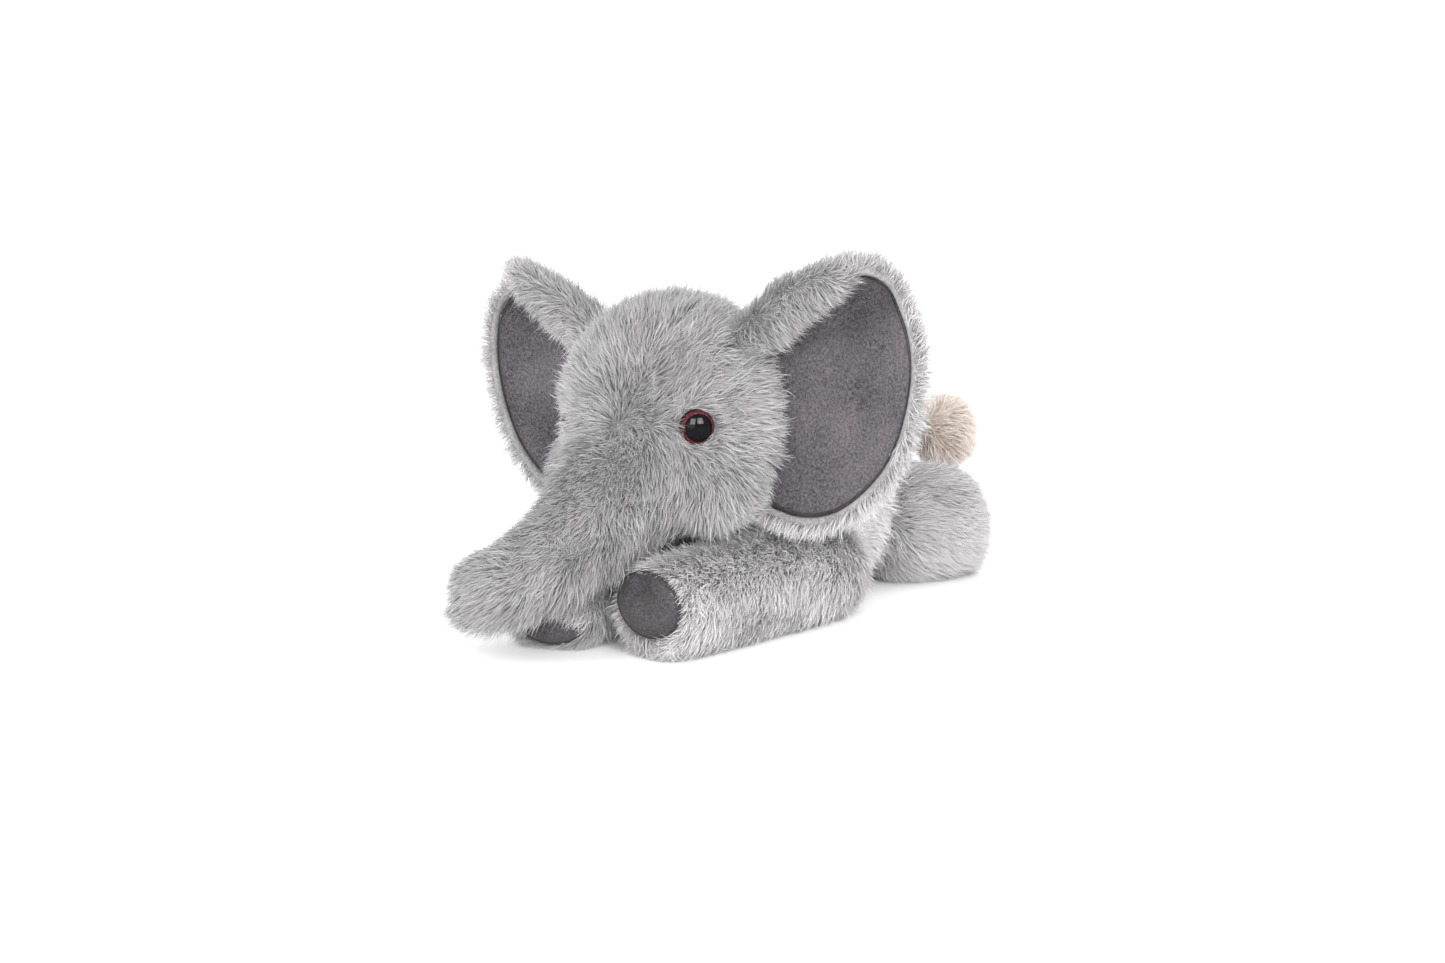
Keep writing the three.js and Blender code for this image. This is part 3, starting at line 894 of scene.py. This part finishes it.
def coverLeg(leg, look, seed):
    path = [Vector(point) for point in look["path"]]
    end = path[-1]
    axis = end - path[-2]
    axis.z = 0
    axis.normalize()
    joint = next(j for j in frame["joints"] if j["child"] == leg)
    hinge = Vector(joint["pos_m"]) / mm
    side = (end - hinge).cross(Vector((0, 0, 1))).normalized()
    outward = side if side.dot(hinge) > 0 else -side
    front, wide, high = np.array(end), *look["sole"]
    soleAxis, soleSide = np.array(axis), np.cross(up, np.array(axis))

    def comb(points, normals):
        tangents, share = alongPath(points, look["path"])
        flow = tangents + up * legComb["down"] + legComb["outward"] * np.array(outward)
        atEnd = smoothStep(share, 0.9, 1.0)[:, None]
        offset = points - front
        offset[:, 2] = points[:, 2] - look["soleHeight"]
        radial = offset - soleAxis * (offset @ soleAxis)[:, None]
        flow = flow * (1 - 0.5 * atEnd) + soleAxis * legComb["overEnd"] * atEnd
        flow = flow + unit(radial) * legComb["fan"] * atEnd
        return flow, ones(points) * legComb["length"], ones(points)

    def keep(points, normals):  # none on the sole, out to just past its seam
        offset = points - front
        u = offset @ soleSide / (wide + 0.6)
        v = (points[:, 2] - look["soleHeight"]) / (high + 0.6)
        return ~((normals @ soleAxis > 0.35) & (u * u + v * v < 1))

    def panelOf(centre):
        return f"{leg}_panel_outer" if (centre - hinge).dot(outward) > 0 else f"{leg}_panel_inner"

    way = (path[-1] - hinge).normalized()
    reach = look["bendReach"]
    bend = ("torso", leg, hinge - way * reach * 0.4, hinge + way * reach)
    near = ("torso", "head") if leg.startswith("front") else ("torso",)
    for number, (node, mesh) in cutPanels(forms[leg], [(hinge, outward)], panelOf):
        dressPanel(
            node, mesh, comb, seed + number, leg, bend=bend, keep=keep, near=near,
            tone=look["tone"], **legPile,
        )
    return axis


legAxes = {}
for number, (leg, look) in enumerate(legLook.items()):
    legAxes[leg] = coverLeg(leg, look, 400 + 10 * number)
print("legs covered")

soleLook = {
    "rings": 22,
    "around": 72,
    "behind": 1.6,  # the middle of the sole lies this far inside the end of the leg
    "back": -1.8,
    "lowest": -1.2,
    "crown": 5.4,
    "dimple": (-0.1, 0.6),  # where the seam's gather pulls the velour in
    "gather": (6.2, 0.085),  # how deep and how wide it pulls
    "folds": (7, 0.35, 0.12),  # how many, how strong and how wide
    "foldDepth": 3.6,
    "thread": 0.34,
    "threadHeight": 0.9,  # no lower than this
}


def closedTube(name, points, radius, material, sides=8):
    # A thread or a roll laid along a closed line of points
    line = np.array(points, float)
    ahead = unit(np.roll(line, -1, axis=0) - np.roll(line, 1, axis=0))
    radii = np.broadcast_to(np.asarray(radius, float), (len(line),))
    guide = unit(np.cross(ahead[0], [0.31, 0.52, 0.79]))
    rings = []
    for place, way, r in zip(line, ahead, radii):
        guide = unit(guide - way * (guide @ way))
        other = np.cross(way, guide)
        for k in range(sides):
            angle = 2 * math.pi * k / sides
            rings.append(place + r * (guide * math.cos(angle) + other * math.sin(angle)))
    mesh = meshFrom(name, rings, ringFaces(len(line), sides, closed=True))
    mesh.materials.append(material)
    return addObject(name, mesh)


def soleDepth(r, u, v, pucker):  # how far the velour stands out, drawn in where the seam is gathered
    aside, above = u - soleLook["dimple"][0], v - soleLook["dimple"][1]
    near = aside**2 + above**2
    (deep, size), (folds, strong, wide) = soleLook["gather"], soleLook["folds"]
    gather = math.exp(-near / size)
    fold = strong * math.exp(-near / wide) * math.sin(folds * math.atan2(above, aside))
    drawnIn = pucker * (deep * gather - soleLook["foldDepth"] * fold * (1 - r**8))
    return max(soleLook["lowest"], soleLook["crown"] * (1 - r**2.6) - drawnIn)


def makeSole(leg, look, axis):
    node = f"{leg}_sole"
    axis = np.array(axis)
    side = np.cross(up, axis)
    wide, high = look["sole"]
    endX, endY, _ = look["path"][-1]
    middle = np.array([endX, endY, look["soleHeight"]]) - axis * soleLook["behind"]
    rings, around = soleLook["rings"], soleLook["around"]

    def place(u, v, depth):
        return middle + side * u * wide + up * v * high + axis * depth

    points = []
    for isFront in (True, False):
        for i in range(rings + 1):
            r = i / rings if isFront else 1 - i / rings
            for k in range(around):
                angle = 2 * math.pi * k / around
                u, v = r * math.cos(angle), r * math.sin(angle)
                depth = soleDepth(r, u, v, look.get("pucker", 0)) if isFront else soleLook["back"]
                points.append(place(u, v, depth))
    mesh = meshFrom(f"{node}_velour", points, ringFaces(2 * rings + 2, around, turned=True))
    weld(mesh, 0.01)
    mesh.materials.append(soleShadedVelour)
    finishPiece(addObject(f"{node}_velour", mesh), "velour", leg, None, node)
    turns = np.linspace(0, 2 * math.pi, 97)[:-1]
    rim = [place(1.01 * math.cos(t), 1.01 * math.sin(t), 0.1) for t in turns]
    rim = [np.array([p[0], p[1], max(p[2], soleLook["threadHeight"])]) for p in rim]
    thread = closedTube(f"{node}_seam", rim, soleLook["thread"], blackThread)
    finishPiece(thread, "velour", leg)


for leg, look in legLook.items():
    makeSole(leg, look, legAxes[leg])
print("soles sewn on")

earLook = {
    "root": (39, -66, 98),
    "sweep": 7,
    "tilt": 6,
    "outline": [
        (-6, -34), (16, -51), (41, -49), (63, -27), (71, 7),
        (65, 35), (47, 54), (28, 50), (8, 36), (-6, 12),
    ],
    "middle": (30, 2),
    "rightReach": 0.94,  # the right ear is a little narrower, and clears the leg under it
    "rightDrop": 0.93,
    "cup": 9,
    "roll": 10,
    "around": 120,
    "backShare": 0.99,
    "backDepth": (2.6, 5.4),
    # Painted light: the pile on the ear's back is given a paler tone than the head's
    "backTone": 0.6,
    "liningShare": 0.95,
    "liningDepth": (0, 2.2),
    "liningCrown": 0.8,
    "liningRings": 28,
    "seamShare": 0.925,
    "seamDepth": -0.5,
    "thread": 0.2,
    "crease": {"from": (50, 43), "to": (6, 24), "deep": 9, "wide": 6.5},  # under the rolled edge
    # Painted shade: the rolled edge's pile is given a darker tone than the ear's back, darker still
    # where the roll is thick
    "edgeTone": 0.5,
    "rollPaintedShade": 0.36,
    "edgePile": 2.6,
    "edge": [  # out, up and half thickness of the fur edge that is rolled over the front
        (-6, -34, 1.9), (16, -51, 1.9), (41, -49, 1.9), (63, -27, 1.9), (71, 7, 1.9),
        (65, 35, 1.8), (48, 53.5, 2.3), (28, 50, 5.3), (5, 39.5, 7.2), (-10, 18, 6.2),
    ],
}


def smoothLoop(points, count):  # a smooth closed curve through these points
    knots = np.array(points, float)
    n = len(knots)
    curve = []
    for step in range(count):
        t = step / count * n
        i, f = int(t), t % 1
        a, b, c, d = (knots[(i + k) % n] for k in (-1, 0, 1, 2))
        square, cube = 2 * a - 5 * b + 4 * c - d, 3 * b - a - 3 * c + d
        curve.append(0.5 * ((2 * b) + (c - a) * f + square * f * f + cube * f**3))
    return np.array(curve)


earRim = smoothLoop(earLook["outline"], 240)
earEdge = smoothLoop(earLook["edge"], 150)


def earPlace(sign, out, height, depth):
    # A point of the cupped ear: outward from its root, up, and behind its face
    middle = earLook["middle"]
    rimAngles = np.arctan2(earRim[:, 1] - middle[1], earRim[:, 0] - middle[0])
    angle = math.atan2(height - middle[1], out - middle[0])
    nearest = np.argmin(np.abs(np.angle(np.exp(1j * (rimAngles - angle)))))
    reach = math.hypot(out - middle[0], height - middle[1]) / np.linalg.norm(earRim[nearest] - middle)
    level = (height - middle[1]) / 50
    forward = earLook["cup"] * reach**2 + earLook["roll"] * max(0, level) ** 2 * max(0, 1 - out / 60)
    crease = earLook["crease"]
    start, run = np.array(crease["from"], float), np.subtract(crease["to"], crease["from"])
    share = min(1, max(0, (np.array([out, height]) - start) @ run / (run @ run)))
    offset = np.linalg.norm(np.array([out, height]) - start - run * share)
    forward -= crease["deep"] * math.exp(-(offset**2) / (2 * crease["wide"] ** 2))
    ahead = forward - depth
    lean, tilt = math.radians(earLook["sweep"]), math.radians(earLook["tilt"])
    along = out + height * math.tan(tilt)
    if sign < 0:
        along *= earLook["rightReach"]
        height *= earLook["rightDrop"] if height < 0 else 1
    x = earLook["root"][0] + along * math.cos(lean) + ahead * math.sin(lean)
    y = earLook["root"][1] + along * math.sin(lean) - ahead * math.cos(lean)
    return np.array(withHead((sign * x, y, earLook["root"][2] + height)))


def earLeaf(name, sign, share, depths, crown=0.0, rings=16):
    # A closed leaf: a front and a back, each a fan of rings from the middle to the rim
    around = earLook["around"]
    middle = np.array(earLook["middle"], float)
    rim = earRim[:: len(earRim) // around]
    mid, thick = (depths[0] + depths[1]) / 2, (depths[1] - depths[0]) / 2
    points = []
    for isFront in (True, False):
        for i in range(rings + 1):
            r = i / rings if isFront else 1 - i / rings
            half = thick * math.sqrt(max(0.0, 1 - r**6))
            depth = mid - half - crown * (1 - r**2) if isFront else mid + half
            for k in range(around):
                out, height = middle + (rim[k] - middle) * r * share
                points.append(earPlace(sign, out, height, depth))
    mesh = meshFrom(name, points, ringFaces(2 * rings + 2, around, turned=True))
    weld(mesh, 0.02)
    return mesh


def makeEar(side, sign, seed):
    body = f"ear_{side}"
    rootX, rootY, rootZ = earLook["root"]
    root = np.array(withHead((sign * rootX, rootY, rootZ)))
    tip = np.array(withHead((sign * (rootX + 30), rootY + 3, rootZ)))
    bend = ("head", body, root - (tip - root) * 0.15, root + (tip - root) * 0.4)
    outward = unit(tip - root)
    middle = np.array(earLook["middle"], float)
    front = unit(earPlace(sign, *middle, -30) - earPlace(sign, *middle, 0))

    def comb(points, normals):
        flow = unit(points - root) + outward * 0.3 + up * 0.1
        rimWay = np.abs(normals @ front)
        return flow, ones(points) * (0.72 + 0.14 * (1 - rimWay)), ones(points) * (0.8 + 0.1 * rimWay)

    def keepBack(points, normals):
        return normals @ front < 0.25

    backMesh = earLeaf(f"ear_back_{side}_cloth", sign, earLook["backShare"], earLook["backDepth"])
    fur = growFur(
        f"ear_back_{side}_fur", backMesh, comb, greyFur, seed, keep=keepBack, near=("head",),
        tone=earLook["backTone"],
    )
    finishPiece(fur, "fur_fabric", body, bend)
    backMesh.materials.append(underCloth)
    back = addObject(f"ear_back_{side}_cloth", backMesh)
    finishPiece(back, "fur_fabric", body, bend, f"ear_back_{side}")

    liningMesh = earLeaf(
        f"ear_lining_{side}_velour", sign, earLook["liningShare"], earLook["liningDepth"],
        earLook["liningCrown"], earLook["liningRings"],
    )
    liningMesh.materials.append(velourCloth)
    lining = addObject(f"ear_lining_{side}_velour", liningMesh)
    finishPiece(lining, "velour", body, bend, f"ear_lining_{side}")

    seamRim = [middle + (point - middle) * earLook["seamShare"] for point in earRim[::2]]
    seam = [earPlace(sign, *point, earLook["seamDepth"]) for point in seamRim]
    thread = closedTube(f"ear_seam_{side}", seam, earLook["thread"], blackThread)
    finishPiece(thread, "velour", body, bend)

    # The edge of the fur back is rolled forward over the lining, thick along the top
    line, radii = [], earEdge[:, 2]
    for out, height, radius in earEdge:
        inward = unit(middle - np.array([out, height]))
        shift = radius * (0.2 + 0.12 * max(0, radius - 2.4))
        place = np.array([out, height]) + inward * min(shift, radius * 0.8)
        line.append(earPlace(sign, *place, earLook["backDepth"][0] - radius * 0.92))
    line = np.array(line)
    roll = closedTube(f"ear_edge_{side}_cloth", line, radii, underCloth, sides=18)
    tangents = unit(np.roll(line, -1, axis=0) - np.roll(line, 1, axis=0))
    centre = earPlace(sign, *middle, 0)

    def nearestOnLine(points):
        return np.argmin(((points[:, None] - line[None]) ** 2).sum(axis=2), axis=1)

    def combEdge(points, normals):
        nearest = nearestOnLine(points)
        thick = smoothStep(radii[nearest], 2.4, 5.5)[:, None]
        away = unit(points - centre)
        over = smoothStep(normals @ front, -0.2, 0.7)[:, None]
        rollFlow = -tangents[nearest] * 0.7 - over * away * 0.9 + (1 - over) * away * 0.5
        flow = away * (1 - thick) + rollFlow * thick
        thick = thick[:, 0]
        # Painted shade: the pile is darker where the roll is thick
        return flow, 0.8 + 0.06 * thick, 0.7 + 0.2 * thick, -earLook["rollPaintedShade"] * thick

    def keepEdge(points, normals):
        facesOut = np.sum(normals * unit(points - centre), axis=1) > 0.05
        return (radii[nearestOnLine(points)] > 3.2) | facesOut

    rollFur = growFur(
        f"ear_edge_{side}_fur", roll.data, combEdge, greyFur, seed + 3, keepEdge, ("head",),
        perSquareMm=earLook["edgePile"], tone=earLook["edgeTone"],
    )
    finishPiece(roll, "fur_fabric", body, bend)
    finishPiece(rollFur, "fur_fabric", body, bend)


makeEar("left", 1, 500)
makeEar("right", -1, 520)
print("ears made")

tailLook = {
    "path": [(2, 92, 56), (9, 105, 58), (16, 116, 57)],
    "tuftPath": [(16, 115, 57), (23, 128, 56), (29, 142, 52)],
    "tuftPile": {"length": 8.5, "rise": (50, 12), "perSquareMm": 2.6},
}
tailBend = ("torso", "tail", (1, 90, 56), (8, 104, 58))


def combTail(points, normals):
    tangents, _ = alongPath(points, tailLook["path"])
    return tangents, ones(points) * 0.8, ones(points) * 0.85


def combTuft(points, normals):
    tangents, _ = alongPath(points, tailLook["tuftPath"])
    return tangents * 0.9 + normals * 0.2 + np.array([0, 0, -0.3]), ones(points), ones(points)


stemMesh, tuftMesh = (forms[name].data.copy() for name in ("tail", "tuft"))
dressPanel("tail_stem", stemMesh, combTail, 600, "tail", bend=tailBend, near=("torso",))
dressPanel("tail_tuft", tuftMesh, combTuft, 610, "tail", material=beigeFur, **tailLook["tuftPile"])
for item in forms.values():  # the forms have given their shape to the panels
    bpy.data.objects.remove(item)
print("tail and tuft made")

eyeLook = {
    "around": 64,
    "radius": 7.4,
    "rim": 1.0,
    "dome": 5.4,
    "domeRings": 24,
    "pupil": 0.79,  # shares of the radius
    "iris": 0.97,
    "stem": 1.7,
    "stemLength": 9,
    "collar": 2.4,
    "bevel": 0.3,
    "sink": {"left": 4.2, "right": 5.6},
    "windows": [(0.547, -1.39, 0.98), (1.31, -0.627, 0.98)],  # bright panes that only the eyes mirror
    "pane": (0.78, 0.92),
    "paneWatts": 90,
}
mirrored = bpy.data.collections.new("eyes_only")


def eyeProfile():  # radius, height and whether it is iris, from the stem's foot to the dome's top
    radius, stem, foot = eyeLook["radius"], eyeLook["stem"], -eyeLook["stemLength"]
    bevel, rim, dome = eyeLook["bevel"], eyeLook["rim"], eyeLook["dome"]
    profile = [(0, foot, 0), (stem * 0.8, foot, 0), (stem, foot + 2 * bevel, 0), (stem, -2 * bevel, 0)]
    profile += [(eyeLook["collar"], 0, 0), (radius - bevel, 0, 0), (radius, bevel, 0), (radius, rim, 0)]
    for angle in np.radians(np.linspace(4, 90, eyeLook["domeRings"])):
        share = math.cos(angle)
        isIris = 1 if eyeLook["pupil"] < share < eyeLook["iris"] else 0
        profile.append((radius * share, rim + dome * math.sin(angle), isIris))
    return profile


def makeEye(side):
    middle, axis = eyeSeats[side]
    seat = middle - axis * eyeLook["sink"][side]
    first = unit(np.cross(axis, up))
    second = np.cross(axis, first)
    around, profile = eyeLook["around"], eyeProfile()
    points, looks = [], []
    for radius, height, isIris in profile:
        for k in range(around):
            angle = 2 * math.pi * k / around
            spoke = first * math.cos(angle) + second * math.sin(angle)
            points.append(seat + axis * height + radius * spoke)
    for lower, upper in zip(profile, profile[1:]):
        looks += [1 if lower[2] and upper[2] else 0] * around
    mesh = meshFrom(f"eye_{side}_dome", points, ringFaces(len(profile), around))
    for material in (pupilPlastic, irisPlastic):
        mesh.materials.append(material)
    mesh.polygons.foreach_set("material_index", looks)
    weld(mesh, 0.01)
    eye = addObject(f"eye_{side}_dome", mesh)
    finishPiece(eye, "eye_plastic", "head", node=f"eye_{side}")
    mirrored.objects.link(eye)


makeEye("left")
makeEye("right")
for number, place in enumerate(eyeLook["windows"]):
    pane = addLamp(f"window_{number + 1}", place, *eyeLook["pane"], eyeLook["paneWatts"])
    pane.light_linking.receiver_collection = mirrored
    pane.visible_diffuse = False
print("eyes set")

# What lies inside keeps its solid, with a material of its own
insides = {"stuffing": fibreFill, "pellet_bag": pelletCloth, "washer": clearWasher}
for node, item in frame["nodes"].items():
    for word, material in insides.items():
        if word in node:
            for slot in item.material_slots:
                slot.material = material


def fillTrunk(share=0.9):  # a copy, shrunk toward its middle to stay inside the trunk's cloth
    mesh = frame["nodes"]["trunk_stuffing"].data.copy()
    mesh.transform(nodeMatrix("trunk_stuffing"))
    points = readPoints(mesh)
    middle = points.mean(axis=0)
    writePoints(mesh, middle + (points - middle) * share)
    mesh.materials.clear()
    mesh.materials.append(fibreFill)
    fill = addObject("trunk_stuffing_fill", mesh)
    finishPiece(fill, "stuffing", "trunk", trunkBend, "trunk_stuffing")


fillTrunk()
print("inside pieces finished")
